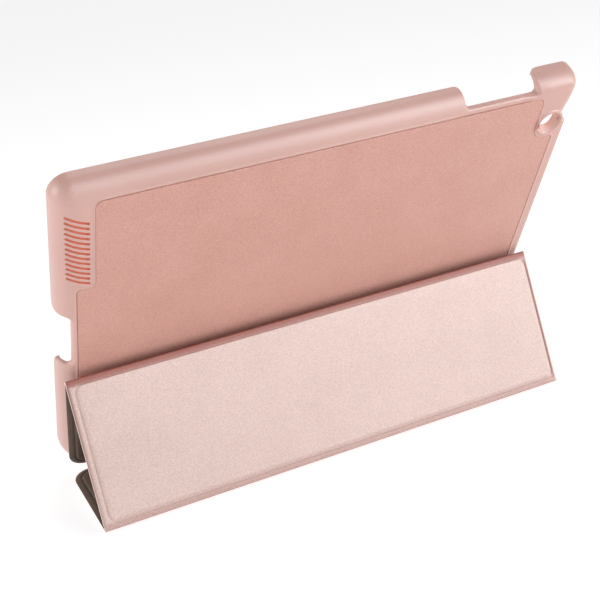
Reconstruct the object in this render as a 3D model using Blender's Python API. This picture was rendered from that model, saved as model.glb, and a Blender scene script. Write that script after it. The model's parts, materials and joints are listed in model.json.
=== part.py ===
"""Tri-fold tablet case: a hard back shell with a leather inlay, and a folding cover that stands it up.

Shell frame: +X along the hinge, +Y up the shell from its hinge edge, +Z out of its back.
Every cover part has its own frame: the fold axis is X, +Y runs along the part and +Z is its lining side.
World: +Z up, the case stands on its hinge and its foot fold, and its back faces -Y.
"""
from math import atan2, cos, pi, radians, sin, sqrt

import bmesh
import bpy
from mathutils import Matrix, Vector

MM = 0.001

# shell
SHELL_LENGTH = 246.0 * MM
SHELL_HEIGHT = 188.6 * MM
SHELL_DEPTH = 12.6 * MM
CORNER_RADIUS = 14.0 * MM
TOP_LEFT_RADIUS = 9.0 * MM
TOP_RIGHT_RADIUS = 6.5 * MM
EDGE_INSET = 11.5 * MM
EDGE_DROP = 9.5 * MM
HINGE_EDGE_INSET = 1.5 * MM
LIP_ROUND = 0.6 * MM
SIDE_WALL = 1.8 * MM
TOP_WALL = 1.5 * MM
HINGE_WALL = 1.1 * MM
FLOOR_DEPTH = 2.5 * MM
CAVITY_INSET = 9.5 * MM
CAVITY_DROP = 7.6 * MM
LIP_OVERHANG = 0.9 * MM
LIP_HEIGHT = 1.2 * MM
ARC_STEPS = 8
CORNER_STEPS = 7

# inlay
INLAY_RECESS = 1.05 * MM
INLAY_THICKNESS = 0.5 * MM
INLAY_SUNK = 0.25 * MM
INLAY_CLEARANCE = 0.3 * MM
INLAY_LEFT = -115.1 * MM
INLAY_LEFT_UPPER = -107.0 * MM
INLAY_STEP_Y = 132.0 * MM
INLAY_RIGHT = 116.1 * MM
INLAY_RIGHT_UPPER = 104.7 * MM
INLAY_CAMERA_Y = 156.2 * MM
INLAY_TOP = 180.8 * MM
INLAY_BOTTOM = 2.2 * MM

# openings in the shell
DOCK_LOW = 80.3 * MM
DOCK_HIGH = 113.0 * MM
DOCK_INNER_X = -117.4 * MM
VOLUME_LEFT = 63.0 * MM
VOLUME_RIGHT = 101.8 * MM
VOLUME_INNER_Y = 182.3 * MM
SIDE_LOW = 25.0 * MM
SIDE_HIGH = 163.3 * MM
SIDE_EDGE_DEPTH = 4.0 * MM
HINGE_GAP_HALF = 98.0 * MM
HINGE_EDGE_DEPTH = 3.0 * MM
SLOT_COUNT = 13
SLOT_FIRST_Y = 170.1 * MM
SLOT_PITCH = 2.94 * MM
SLOT_WIDTH = 1.25 * MM
SLOT_INNER_X = -109.7 * MM
SLOT_OUTER_X = -118.9 * MM
SLOT_RISE = 4.5 * MM
CAMERA_X = 111.0 * MM
CAMERA_Y = 167.0 * MM
CAMERA_RADIUS = 4.6 * MM
FUNNEL_X = 112.0 * MM
FUNNEL_Y = 164.6 * MM
FUNNEL_RADIUS = 6.4 * MM

# cover
COVER_LENGTH = 246.0 * MM
COVER_THICKNESS = 2.5 * MM
SKIN_THICKNESS = 0.6 * MM
BOARD_THICKNESS = 1.0 * MM
LINER_THICKNESS = 0.4 * MM
GAP = 0.3 * MM
HINGE_OFFSET = COVER_THICKNESS / 2 + GAP
SPINE_LENGTH = SHELL_DEPTH + 2 * HINGE_OFFSET
SPINE_END_INSET = 11.0 * MM
PANEL_LENGTHS = (63.4 * MM, 68.2 * MM, 54.0 * MM)
CREASE_RADIUS = 1.2 * MM
CREASE_SIDES = 16
SKIN_START = 1.5 * MM
SPINE_MARGIN = 1.7 * MM
RIDGE_MARGIN = 3.2 * MM
FOOT_MARGIN = 2.4 * MM
FREE_MARGIN = 0.0
FREE_CORNER = 9.0 * MM
FOLD_CORNER = 1.5 * MM
HEM = 5.0 * MM
BOARD_CORNER = 4.0 * MM

# pose of the stand, as the angle of each part to the shell's back
SPINE_LEAN = radians(20.0)
PANEL_LEANS = (radians(-2.7), radians(129.1), radians(243.5))

# magnets
LATCH_SIZE = (16.0 * MM, 5.0 * MM, 0.9 * MM)
LATCH_XS = (-96.0 * MM, -38.0 * MM, 38.0 * MM, 96.0 * MM)
LATCH_EDGE = 10.0 * MM
WAKE_RADIUS = 3.5 * MM
WAKE_X = 108.0 * MM
WAKE_EDGE = 27.0 * MM
KEEPER_SIZE = (206.0 * MM, 6.0 * MM, 0.5 * MM)
KEEPER_EDGE = 11.0 * MM

SHELL_ROSE = (0.66, 0.39, 0.34)
INLAY_ROSE = (0.61, 0.34, 0.28)
COVER_ROSE = (0.79, 0.58, 0.52)
LINER_BROWN = (0.085, 0.060, 0.042)
BOARD_GREY = (0.45, 0.42, 0.38)
MAGNET_NICKEL = (0.62, 0.61, 0.58)
STEEL_GREY = (0.50, 0.50, 0.52)


def clear_scene():
    for old in list(bpy.data.objects):
        bpy.data.objects.remove(old, do_unlink=True)


def collection(name):
    group = bpy.data.collections.new(name)
    bpy.context.scene.collection.children.link(group)
    return group


def material(name, colour, roughness, metallic=0.0):
    surface = bpy.data.materials.new(name)
    surface.use_nodes = True
    surface.diffuse_color = (*colour, 1.0)
    shader = surface.node_tree.nodes["Principled BSDF"]
    shader.inputs["Base Color"].default_value = (*colour, 1.0)
    shader.inputs["Roughness"].default_value = roughness
    shader.inputs["Metallic"].default_value = metallic
    return surface


def rounded(corners, steps=CORNER_STEPS):
    """Outline through (x, y, radius) corners, each corner turned into an arc."""
    points = []
    for i, (x, y, radius) in enumerate(corners):
        here = Vector((x, y))
        before = Vector(corners[i - 1][:2]) - here
        after = Vector(corners[(i + 1) % len(corners)][:2]) - here
        if radius <= 0:
            points.append(here)
            continue
        before.normalize()
        after.normalize()
        half = before.angle(after) / 2
        middle = here + (before + after).normalized() * radius / sin(half)
        start = here + before * radius * cos(half) / sin(half) - middle
        end = here + after * radius * cos(half) / sin(half) - middle
        turn = start.angle_signed(end)
        for k in range(steps + 1):
            angle = -turn * k / steps
            points.append(middle + Matrix.Rotation(angle, 2) @ start)
    return points


def rectangle(x0, x1, y0, y1, low_radius=0.0, high_radius=None):
    high = low_radius if high_radius is None else high_radius
    return rounded([(x0, y0, low_radius), (x1, y0, low_radius), (x1, y1, high), (x0, y1, high)])


def circle(x, y, radius, steps=28):
    turns = [2 * pi * k / steps for k in range(steps)]
    return [Vector((x + radius * cos(turn), y + radius * sin(turn))) for turn in turns]


def mesh_from_curve(curve_object):
    evaluated = curve_object.evaluated_get(bpy.context.evaluated_depsgraph_get())
    mesh = bpy.data.meshes.new_from_object(evaluated)
    bm = bmesh.new()
    bm.from_mesh(mesh)
    bmesh.ops.remove_doubles(bm, verts=bm.verts, dist=0.00001)
    bm.to_mesh(mesh)
    bm.free()
    data = curve_object.data
    bpy.data.objects.remove(curve_object, do_unlink=True)
    bpy.data.curves.remove(data)
    return mesh


def plate(name, outlines, z_low, z_high):
    """Flat solid between two heights; outlines after the first are holes."""
    curve = bpy.data.curves.new(name, "CURVE")
    curve.dimensions = "2D"
    curve.fill_mode = "BOTH"
    curve.extrude = (z_high - z_low) / 2
    for outline in outlines:
        spline = curve.splines.new("POLY")
        spline.points.add(len(outline) - 1)
        for point, place in zip(spline.points, outline):
            point.co = (place.x, place.y, 0.0, 1.0)
        spline.use_cyclic_u = True
    flat = bpy.data.objects.new(name + "_outline", curve)
    bpy.context.scene.collection.objects.link(flat)
    bpy.context.view_layer.update()
    mesh = mesh_from_curve(flat)
    for vertex in mesh.vertices:
        vertex.co.z += (z_low + z_high) / 2
    mesh.name = name
    return bpy.data.objects.new(name, mesh)


def loft(name, rings):
    """Closed solid through rings that all have the same number of points, listed upwards."""
    bm = bmesh.new()
    rows = [[bm.verts.new(point) for point in ring] for ring in rings]
    count = len(rows[0])
    bm.faces.new(list(reversed(rows[0])))
    bm.faces.new(rows[-1])
    for low, high in zip(rows, rows[1:]):
        for k in range(count):
            after = (k + 1) % count
            bm.faces.new((low[k], low[after], high[after], high[k]))
    mesh = bpy.data.meshes.new(name)
    bm.to_mesh(mesh)
    bm.free()
    return bpy.data.objects.new(name, mesh)


def tray_ring(inset, low_inset, z):
    """Rounded rectangle of the shell's plan, brought in by inset, and by low_inset at the hinge edge."""
    half = SHELL_LENGTH / 2 - inset
    high = SHELL_HEIGHT - inset
    low, right, left = [max(radius - inset, 1.0 * MM)
                        for radius in (CORNER_RADIUS, TOP_RIGHT_RADIUS, TOP_LEFT_RADIUS)]
    corners = [(-half, low_inset, low), (half, low_inset, low), (half, high, right), (-half, high, left)]
    outline = rounded(corners)
    return [Vector((point.x, point.y, z)) for point in outline]


def shell_body():
    rings = [
        tray_ring(LIP_ROUND, LIP_ROUND, -SHELL_DEPTH),
        tray_ring(0.0, 0.0, -SHELL_DEPTH + LIP_ROUND),
    ]
    for k in range(ARC_STEPS + 1):
        angle = pi / 2 * k / ARC_STEPS
        side = EDGE_INSET * (1 - cos(angle))
        low = HINGE_EDGE_INSET * (1 - cos(angle))
        rings.append(tray_ring(side, low, -EDGE_DROP * (1 - sin(angle))))
    return loft("back_shell", rings)


def cavity_ring(inset, z):
    half = SHELL_LENGTH / 2 - SIDE_WALL - inset
    low = HINGE_WALL + inset
    high = SHELL_HEIGHT - TOP_WALL - inset
    outline = rectangle(-half, half, low, high, max(CORNER_RADIUS - SIDE_WALL - inset, 1.0 * MM))
    return [Vector((point.x, point.y, z)) for point in outline]


def cavity_cutters():
    """The tablet's space, rounded at the floor, and the narrower mouth that the lip leaves."""
    lip_z = -SHELL_DEPTH + LIP_HEIGHT
    rings = [cavity_ring(0.0, lip_z)]
    for k in range(ARC_STEPS + 1):
        angle = pi / 2 * k / ARC_STEPS
        inset = CAVITY_INSET * (1 - cos(angle))
        rings.append(cavity_ring(inset, -FLOOR_DEPTH - CAVITY_DROP * (1 - sin(angle))))
    mouth = [
        cavity_ring(LIP_OVERHANG, -SHELL_DEPTH - 1.0 * MM),
        cavity_ring(LIP_OVERHANG, lip_z + 0.5 * MM),
    ]
    return [loft("cavity_cutter", rings), loft("mouth_cutter", mouth)]


def inlay_outline(clearance=0.0):
    """Inlay plan: a step beside the speaker slots, and a bay round the camera."""
    left = INLAY_LEFT - clearance
    left_upper = INLAY_LEFT_UPPER - clearance
    right = INLAY_RIGHT + clearance
    right_upper = INLAY_RIGHT_UPPER + clearance
    return rounded([
        (left, INLAY_BOTTOM - clearance, 2.0 * MM),
        (right, INLAY_BOTTOM - clearance, 2.0 * MM),
        (right, INLAY_CAMERA_Y + clearance, 1.8 * MM),
        (right_upper, INLAY_CAMERA_Y + clearance, 6.0 * MM),
        (right_upper, INLAY_TOP + clearance, 4.0 * MM),
        (left_upper, INLAY_TOP + clearance, 4.0 * MM),
        (left_upper, INLAY_STEP_Y + clearance, 3.0 * MM),
        (left, INLAY_STEP_Y + clearance, 3.0 * MM),
    ], steps=5)


def slot_outline(row):
    """Speaker slot: straight, climbing towards the shell's edge, with rounded ends."""
    start = Vector((SLOT_INNER_X, SLOT_FIRST_Y - row * SLOT_PITCH))
    end = start + Vector((SLOT_OUTER_X - SLOT_INNER_X, SLOT_RISE))
    run = (end - start).normalized() * SLOT_WIDTH / 2
    turns = [pi * k / 4 - pi / 2 for k in range(5)]
    far = [end + Matrix.Rotation(turn, 2) @ run for turn in turns]
    near = [start - Matrix.Rotation(turn, 2) @ run for turn in turns]
    return far + near


def opening_cutters():
    far = 10.0 * MM
    deep = -SHELL_DEPTH - far
    left = -SHELL_LENGTH / 2
    right = SHELL_LENGTH / 2
    round_edge = 3.0 * MM
    cutters = [
        plate("dock_cutter",
              [rectangle(left - far, DOCK_INNER_X, DOCK_LOW, DOCK_HIGH, round_edge)], deep, far),
        plate("volume_cutter",
              [rectangle(VOLUME_LEFT, VOLUME_RIGHT, VOLUME_INNER_Y, SHELL_HEIGHT + far, round_edge)],
              deep, far),
        plate("side_cutter",
              [rectangle(right - far, right + far, SIDE_LOW, SIDE_HIGH, round_edge)],
              deep, -SIDE_EDGE_DEPTH),
        plate("hinge_cutter",
              [rectangle(-HINGE_GAP_HALF, HINGE_GAP_HALF, -far, far, round_edge)],
              deep, -HINGE_EDGE_DEPTH),
        plate("inlay_cutter", [inlay_outline(INLAY_CLEARANCE)], -INLAY_RECESS, far),
    ]
    for row in range(SLOT_COUNT):
        cutters.append(plate(f"slot_cutter_{row + 1}", [slot_outline(row)], -SHELL_DEPTH + 3.0 * MM, far))
    mouth = [Vector((p.x, p.y, 0.6 * MM)) for p in circle(FUNNEL_X, FUNNEL_Y, FUNNEL_RADIUS * 1.06)]
    hole = [Vector((p.x, p.y, -FLOOR_DEPTH - 1.0 * MM)) for p in circle(CAMERA_X, CAMERA_Y, CAMERA_RADIUS)]
    cutters.append(loft("camera_cutter", [hole, mouth]))
    return cutters


def cut(target, cutter):
    cutter.hide_render = True
    cutter.display_type = "WIRE"
    knife = target.modifiers.new(cutter.name, "BOOLEAN")
    knife.operation = "DIFFERENCE"
    knife.solver = "EXACT"
    knife.object = cutter


def smooth(piece, angle=35.0):
    piece.data.shade_smooth()
    piece.data.set_sharp_from_angle(angle=radians(angle))


def add(piece, group, parent, surface=None):
    group.objects.link(piece)
    piece.parent = parent
    if surface:
        piece.data.materials.append(surface)
    return piece


def make_shell(group, cutters, frame):
    shell = add(shell_body(), group, frame, material("shell_plastic", SHELL_ROSE, 0.35, 0.25))
    smooth(shell)
    for cutter in cavity_cutters() + opening_cutters():
        cut(shell, add(cutter, cutters, frame))
    top = -INLAY_SUNK
    inlay = plate("back_skin", [inlay_outline()], top - INLAY_THICKNESS, top)
    add(inlay, group, frame, material("inlay_leather", INLAY_ROSE, 0.5, 0.15))


def layer_heights():
    """Bottom and top of the skin, board and lining, counted from the fold axis."""
    half = COVER_THICKNESS / 2
    room = COVER_THICKNESS - SKIN_THICKNESS - LINER_THICKNESS
    board_low = -half + SKIN_THICKNESS + (room - BOARD_THICKNESS) / 2
    return {
        "skin": (-half, -half + SKIN_THICKNESS),
        "board": (board_low, board_low + BOARD_THICKNESS),
        "liner": (half - LINER_THICKNESS, half),
    }


def make_panel(name, group, frame, surfaces, span, margins, corners, pockets=()):
    """Skin, stiffener board and lining of one stretch of cover, from its fold at y = 0 to its far end.

    span is (half length along the hinge, length across it), margins are what the two folds leave free at
    each end, and corners are the radii at the two ends.
    """
    half, length = span
    heights = layer_heights()
    skin_ends = (min(margins[0], SKIN_START), length - min(margins[1], SKIN_START))
    skin = plate(f"{name}_skin", [rectangle(-half, half, *skin_ends, *corners)], *heights["skin"])
    add(skin, group, frame, surfaces["skin"])
    liner_ends = (margins[0], length - margins[1])
    liner = plate(f"{name}_liner", [rectangle(-half, half, *liner_ends, *corners)], *heights["liner"])
    add(liner, group, frame, surfaces["liner"])
    low = max(margins[0], 2.2 * MM)
    high = length - max(margins[1], 2.2 * MM)
    board_outline = rectangle(-half + HEM, half - HEM, low, high, *[min(c, BOARD_CORNER) for c in corners])
    board = plate(f"{name}_board", [board_outline, *pockets], *heights["board"])
    add(board, group, frame, surfaces["board"])


def make_crease(name, group, frame, place, length, surface):
    """Soft fold of the cover between two boards: a round strip lying on the fold's axis."""
    bm = bmesh.new()
    bmesh.ops.create_cone(bm, cap_ends=True, segments=CREASE_SIDES, radius1=CREASE_RADIUS,
                          radius2=CREASE_RADIUS, depth=length)
    mesh = bpy.data.meshes.new(name)
    bm.to_mesh(mesh)
    bm.free()
    crease = bpy.data.objects.new(name, mesh)
    crease.location = place
    crease.rotation_euler = (0.0, pi / 2, 0.0)
    add(crease, group, frame, surface)
    smooth(crease, 50.0)


def middle_height():
    low, high = layer_heights()["board"]
    return (low + high) / 2


def block(name, size, place):
    outline = rectangle(place[0] - size[0] / 2, place[0] + size[0] / 2, place[1] - size[1] / 2,
                        place[1] + size[1] / 2, 0.8 * MM)
    return plate(name, [outline], middle_height() - size[2] / 2, middle_height() + size[2] / 2)


def pocket(size, place):
    """Hole in a board round a block of this size."""
    return rectangle(place[0] - size[0] / 2 - GAP, place[0] + size[0] / 2 + GAP, place[1] - size[1] / 2 - GAP,
                     place[1] + size[1] / 2 + GAP, 1.0 * MM)


def pivot(name, parent, place, angle):
    empty = bpy.data.objects.new(name, None)
    bpy.context.scene.collection.objects.link(empty)
    empty.empty_display_size = 0.02
    empty.parent = parent
    empty.location = place
    empty.rotation_euler = (angle, 0.0, 0.0)
    return empty


def stand_angle():
    """Angle of the shell's back to the table, from the line through the hinge and the foot fold."""
    leans = (SPINE_LEAN, *PANEL_LEANS[:2])
    lengths = (SPINE_LENGTH, *PANEL_LENGTHS[:2])
    up = sum(length * cos(lean) for length, lean in zip(lengths, leans))
    out = sum(length * sin(lean) for length, lean in zip(lengths, leans))
    return atan2(out, up)


def shell_place(angle):
    """Where the shell's hinge edge stands so that the hinge touches the table and the box is centred on Y."""
    reach = (SHELL_HEIGHT - EDGE_INSET) * cos(angle) - EDGE_DROP * sin(angle)
    reach += sqrt((EDGE_INSET * cos(angle)) ** 2 + (EDGE_DROP * sin(angle)) ** 2)
    front = (SHELL_DEPTH - LIP_ROUND / 2) * sin(angle)
    height = CREASE_RADIUS + HINGE_OFFSET * (sin(angle) + cos(angle))
    return (0.0, (reach - front) / 2, height)


def build():
    clear_scene()
    parts = collection("tablet_case")
    cutters = collection("cutters")
    angle = stand_angle()
    shell_frame = pivot("shell_frame", None, shell_place(angle), pi - angle)
    make_shell(parts, cutters, shell_frame)

    skin = material("cover_leather", COVER_ROSE, 0.5, 0.1)
    surfaces = {
        "skin": skin,
        "liner": material("liner_microfibre", LINER_BROWN, 0.9),
        "board": material("stiffener_board", BOARD_GREY, 0.8),
    }
    nickel = material("magnet_nickel", MAGNET_NICKEL, 0.3, 1.0)
    steel = material("keeper_steel", STEEL_GREY, 0.35, 1.0)
    half = COVER_LENGTH / 2
    spine_half = half - SPINE_END_INSET
    strip = 2 * spine_half

    hinge_place = (0.0, -HINGE_OFFSET, HINGE_OFFSET)
    make_crease("hinge_crease", parts, shell_frame, hinge_place, strip, skin)

    spine = pivot("spine_pivot", shell_frame, hinge_place, SPINE_LEAN)
    make_panel("spine", parts, spine, surfaces, (spine_half, SPINE_LENGTH), (SPINE_MARGIN, SPINE_MARGIN),
               (FOLD_CORNER, FOLD_CORNER))
    make_crease("spine_crease", parts, spine, (0.0, SPINE_LENGTH, 0.0), strip, skin)

    first, second, third = PANEL_LENGTHS
    leans = PANEL_LEANS
    panel_1 = pivot("panel_1_pivot", spine, (0.0, SPINE_LENGTH, 0.0), leans[0] - SPINE_LEAN)
    keeper_place = (0.0, KEEPER_EDGE)
    make_panel("panel_1", parts, panel_1, surfaces, (half, first), (SPINE_MARGIN, RIDGE_MARGIN),
               (FREE_CORNER, FOLD_CORNER), [pocket(KEEPER_SIZE, keeper_place)])
    fold_length = COVER_LENGTH - 2 * FOLD_CORNER
    make_crease("ridge_crease", parts, panel_1, (0.0, first, 0.0), fold_length, skin)
    add(block("keeper_plate", KEEPER_SIZE, keeper_place), parts, panel_1, steel)

    panel_2 = pivot("panel_2_pivot", panel_1, (0.0, first, 0.0), leans[1] - leans[0])
    make_panel("panel_2", parts, panel_2, surfaces, (half, second), (RIDGE_MARGIN, FOOT_MARGIN),
               (FOLD_CORNER, FOLD_CORNER))
    make_crease("foot_crease", parts, panel_2, (0.0, second, 0.0), fold_length, skin)

    panel_3 = pivot("panel_3_pivot", panel_2, (0.0, second, 0.0), leans[2] - leans[1])
    latch_places = [(x, third - LATCH_EDGE) for x in LATCH_XS]
    wake_place = (WAKE_X, third - WAKE_EDGE)
    pockets = [pocket(LATCH_SIZE, place) for place in latch_places]
    pockets.append(circle(*wake_place, WAKE_RADIUS + GAP))
    make_panel("panel_3", parts, panel_3, surfaces, (half, third), (FOOT_MARGIN, FREE_MARGIN),
               (FOLD_CORNER, FREE_CORNER), pockets)
    for number, place in enumerate(latch_places, 1):
        add(block(f"latch_magnet_{number}", LATCH_SIZE, place), parts, panel_3, nickel)
    wake_low = middle_height() - LATCH_SIZE[2] / 2
    wake = plate("wake_magnet", [circle(*wake_place, WAKE_RADIUS)], wake_low, wake_low + LATCH_SIZE[2])
    add(wake, parts, panel_3, nickel)
    bpy.context.view_layer.update()


build()
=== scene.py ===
import json
import math

import bmesh
import bpy
import numpy as np
from mathutils import Matrix, Vector


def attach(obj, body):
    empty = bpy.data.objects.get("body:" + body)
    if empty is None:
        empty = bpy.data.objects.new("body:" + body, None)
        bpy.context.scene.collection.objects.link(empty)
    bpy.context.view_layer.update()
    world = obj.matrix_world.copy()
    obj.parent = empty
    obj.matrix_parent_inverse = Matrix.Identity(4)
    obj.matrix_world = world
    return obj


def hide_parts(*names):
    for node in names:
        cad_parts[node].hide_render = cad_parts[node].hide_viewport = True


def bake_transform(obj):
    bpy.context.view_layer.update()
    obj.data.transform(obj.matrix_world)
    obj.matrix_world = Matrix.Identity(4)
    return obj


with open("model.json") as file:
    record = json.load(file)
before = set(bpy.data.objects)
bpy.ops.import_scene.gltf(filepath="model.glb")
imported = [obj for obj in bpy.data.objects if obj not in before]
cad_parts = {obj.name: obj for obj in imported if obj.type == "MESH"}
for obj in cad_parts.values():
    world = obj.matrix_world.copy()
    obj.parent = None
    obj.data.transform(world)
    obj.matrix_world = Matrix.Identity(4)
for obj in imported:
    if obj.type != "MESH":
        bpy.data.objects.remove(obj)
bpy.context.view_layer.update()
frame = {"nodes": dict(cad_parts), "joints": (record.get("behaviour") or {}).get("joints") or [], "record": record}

MM = 0.001

# shell
HALF_LENGTH = 123.0
HEIGHT = 188.6
DEPTH = 12.6
CORNER_RADIUS = 14.0
TOP_LEFT_RADIUS = 9.0
TOP_RIGHT_RADIUS = 5.2
BUMPER_GROWTH = 1.0
BUMPER_INSET = 6.0
BUMPER_FROM = (92.0, 160.0)
BUMPER_FADE = (16.0, 22.0)
EDGE_INSET = 11.5
EDGE_DROP = 9.5
HINGE_EDGE_INSET = 1.5
SIDE_WALL = 1.8
TOP_WALL = 1.5
HINGE_WALL = 1.1
FLOOR_DEPTH = 2.5
CAVITY_INSET = 9.5
CAVITY_DROP = 7.6
LIP_OVERHANG = 0.9
LIP_HEIGHT = 1.2
RIM_ROUND = 0.45
BAND_LEFT = 60.0
BAND_RIGHT = 122.6
BAND_ROUND = 2.5
BAND_BLEND = 1.8
BLEND_FROM = (113.5, 156.0)
BLEND_FADE = (3.0, 5.0)
SIDE_LOW = 25.0
SIDE_HIGH = 163.3
SIDE_EDGE_DEPTH = 4.0
SIDE_INNER_X = 112.0
SIDE_END_ROUND = 6.0
HINGE_GAP_HALF = 98.0
HINGE_EDGE_DEPTH = 3.0
HINGE_EDGE_REACH = 9.0
HINGE_END_ROUND = 4.0
OPENING_CORNER = 2.5
DOCK_LOW = 80.3
DOCK_HIGH = 113.0
DOCK_INNER_X = -117.4
DOCK_ROUND = 1.2
DOCK_CORNER = 3.0
DOCK_LOW_ROUND = 6.0
DOCK_HIGH_ROUND = 2.2
VOLUME_LEFT = 63.0
VOLUME_RIGHT = 101.8
VOLUME_INNER_Y = 182.7
VOLUME_SLOPE = 0.18
VOLUME_BOW = 1.3
VOLUME_ROUND = 0.6
VOLUME_LEFT_ROUND = 2.5
VOLUME_RIGHT_ROUND = 2.0
SLOT_COUNT = 13
SLOT_FIRST_Y = 170.1
SLOT_PITCH = 2.94
SLOT_WIDTH = 1.25
SLOT_INNER_X = -110.0
SLOT_OUTER_X = -118.4
SLOT_RISE = 3.9
CAMERA = (111.0, 167.0, 4.6)
FUNNEL = (112.0, 165.0, 5.5)
FUNNEL_RIM = 0.9
FUNNEL_RIM_OFFSET = 0.8
FUNNEL_BLEND = 1.2
CAMERA_DEPTH = 2.9
# strengths of the painted shade and bounce light in the camera funnel and in the inlay's gap
FUNNEL_PAINTED_SHADE = 0.3
RECESS_PAINTED_SHADE = 0.8
BEAD_GAP = 0.6
BEAD_WIDTH = 0.45
BEAD_HEIGHT = 0.25
BEAD_STOP_Y = 176.0

# inlay
INLAY_RECESS = 1.05
INLAY_GAP = 0.06
INLAY_BOTTOM_Z = -0.75
INLAY_TOP_Z = -0.02
INLAY_START = 4.0
INLAY_LEFT = -115.1
INLAY_LEFT_UPPER = -107.0
INLAY_STEP_Y = 132.0
INLAY_RIGHT = 116.1
INLAY_RIGHT_UPPER = 104.7
INLAY_CAMERA_Y = 156.2
INLAY_TOP = 180.8
INLAY_ROUND = 0.2

# cover
HALF_COVER = 123.0
SPINE_HALF = 112.0
FACE = 1.25
HEM_FACE = 0.8
GROOVE = 0.36
HEM_ROLL = 0.42
SKIN_INNER = 0.65
LINER_INNER = 0.85
HEM = 3.6
HEM_RIGHT = 2.4
HEM_EDGE = 0.28
STRIP_TAPER = 0.12
GROOVE_OUTSIDE = 0.9
RIGHT_EXTRA = 0.7
# how dark the right hem is painted: painted shade
RIGHT_HEM_SHADE = 0.15
BOARD_CORNER = 4.0
FREE_CORNER = 9.0
FOLD_CORNER = 0.5
FOLD_FACE = 0.79
FOLD_REACH = 2.6
STRIP_REACH = 2.0
STRIP_PROUD = 0.03
STRIP_DIVE = 0.3
STRIP_CORNER = 0.4
LEATHER_STRIP_INNER = 0.12
LINING_STRIP_INNER = 0.08
LINING_STRIP_OUTER = 0.42
# reach and strength of the painted shade along each fold
FOLD_SHADE_REACH = 2.5
FOLD_SHADE_TONE = {"spine": 0.2, "ridge": 1.0, "foot": 0.05}
SKIN_GAP = 0.5
LINER_GAP = 3.0
LINER_MARGIN = 1.9
HINGE_OFFSET = FACE + 0.3
HINGE_ROLL = 1.19
HINGE_TUCK = 4.2
THIRD_LENGTH = 54.0
THIRD_LEAN = math.radians(243.5)
SPINE_LEAN = math.radians(20.0)

# view and light
VIEW_TURN = (53.617, 21.507, 15.697)
VIEW_OFFSET = (5.8092, 54.9119, 643.0699)
VIEW_DROP = 2.4
LENS = 72.44
LIGHT_TARGET = (0.0, 0.0, 0.07)
COOL = (0.74, 0.94, 1.0)


# frames

def joint(name):
    return next(j for j in frame["joints"] if j["name"] == name)


def shell_matrix():
    """Shell frame in the row frame, from the seat mount's direction and the hinge's place."""
    out_of_back = -Vector(frame["record"]["mounts"][0]["axis"]).normalized()
    along_hinge = Vector((1.0, 0.0, 0.0))
    up_shell = out_of_back.cross(along_hinge)
    offset = HINGE_OFFSET * MM
    origin = Vector(joint("cover_swing")["pos_m"]) + offset * (up_shell - out_of_back)
    return frame_matrix(origin, up_shell)


def frame_matrix(origin, y_axis):
    x_axis = Vector((1.0, 0.0, 0.0))
    z_axis = x_axis.cross(y_axis)
    turn = Matrix((x_axis, y_axis, z_axis)).transposed().to_4x4()
    return Matrix.Translation(origin) @ turn


def fold_frames():
    """Each cover part's frame and length: the spine, then the three panels."""
    places = [Vector(joint(n)["pos_m"]) for n in ("cover_swing", "spine_fold", "ridge_fold", "foot_fold")]
    shell_y = shell_matrix().to_3x3().col[1]
    last = Matrix.Rotation(THIRD_LEAN, 3, "X") @ shell_y
    places.append(places[-1] + last * THIRD_LENGTH * MM)
    frames = {}
    for name, start, end in zip(("spine", "panel_1", "panel_2", "panel_3"), places, places[1:]):
        run = end - start
        frames[name] = (frame_matrix(start, run.normalized()), run.length / MM)
    return frames


# solid modelling with distances, all in millimetres

def round_union(a, b, radius):
    """Union of two shapes that cross at an angle, with a fillet of this radius."""
    corner = np.hypot(np.maximum(radius - a, 0), np.maximum(radius - b, 0))
    return np.maximum(radius, np.minimum(a, b)) - corner


def round_cut(a, b, radius):
    """What is inside both shapes, its new edge rounded to this radius."""
    corner = np.hypot(np.maximum(radius + a, 0), np.maximum(radius + b, 0))
    return np.minimum(-radius, np.maximum(a, b)) + corner


def rounded_box(x, y, x0, x1, y0, y1, radius):
    across = np.abs(x - (x0 + x1) / 2) - (x1 - x0) / 2 + radius
    along = np.abs(y - (y0 + y1) / 2) - (y1 - y0) / 2 + radius
    outside = np.hypot(np.maximum(across, 0), np.maximum(along, 0))
    return outside + np.minimum(np.maximum(across, along), 0) - radius


def domed(outside, z, inset, drop):
    """Below z = 0 and inside an outline, the upper edge an elliptical round of this inset and drop."""
    a = np.maximum(outside + inset, 0) / inset
    b = np.maximum(z + drop, 0) / drop
    reach = np.hypot(a, b)
    slope = np.hypot(a / inset, b / drop)
    curve = reach * (reach - 1) / np.maximum(slope, 1e-9)
    return np.where((a > 0) & (b > 0), curve, np.maximum(outside, z))


def wall_end(beyond, z, radius):
    """A wall that stops where beyond is 0, its corner at the lip rounded."""
    clear_of_lip = 2.5 * np.clip((-beyond - radius) / 4, 0, 1)
    return round_cut(beyond, -DEPTH - z - clear_of_lip, radius)


def edge_inset(x, y):
    """Inset of the back's rounded edge, which is nearly square along the hinge."""
    beyond_corner = np.maximum(np.abs(x) - HALF_LENGTH + CORNER_RADIUS, 1e-6)
    turn = np.arctan2(np.maximum(CORNER_RADIUS - y, 0), beyond_corner)
    share = turn / (math.pi / 2)
    even = EDGE_INSET + (HINGE_EDGE_INSET - EDGE_INSET) * share * share * (3 - 2 * share)
    return even + (BUMPER_INSET - EDGE_INSET) * bumper_share(x, y)


def bumper_share(x, y):
    """1 at the upper right corner, which is fuller, fading to 0 down the side and along the top."""
    along = np.clip((x - BUMPER_FROM[0]) / BUMPER_FADE[0], 0, 1)
    up = np.clip((y - BUMPER_FROM[1]) / BUMPER_FADE[1], 0, 1)
    return up * up * (3 - 2 * up) * along * along * (3 - 2 * along)


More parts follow.
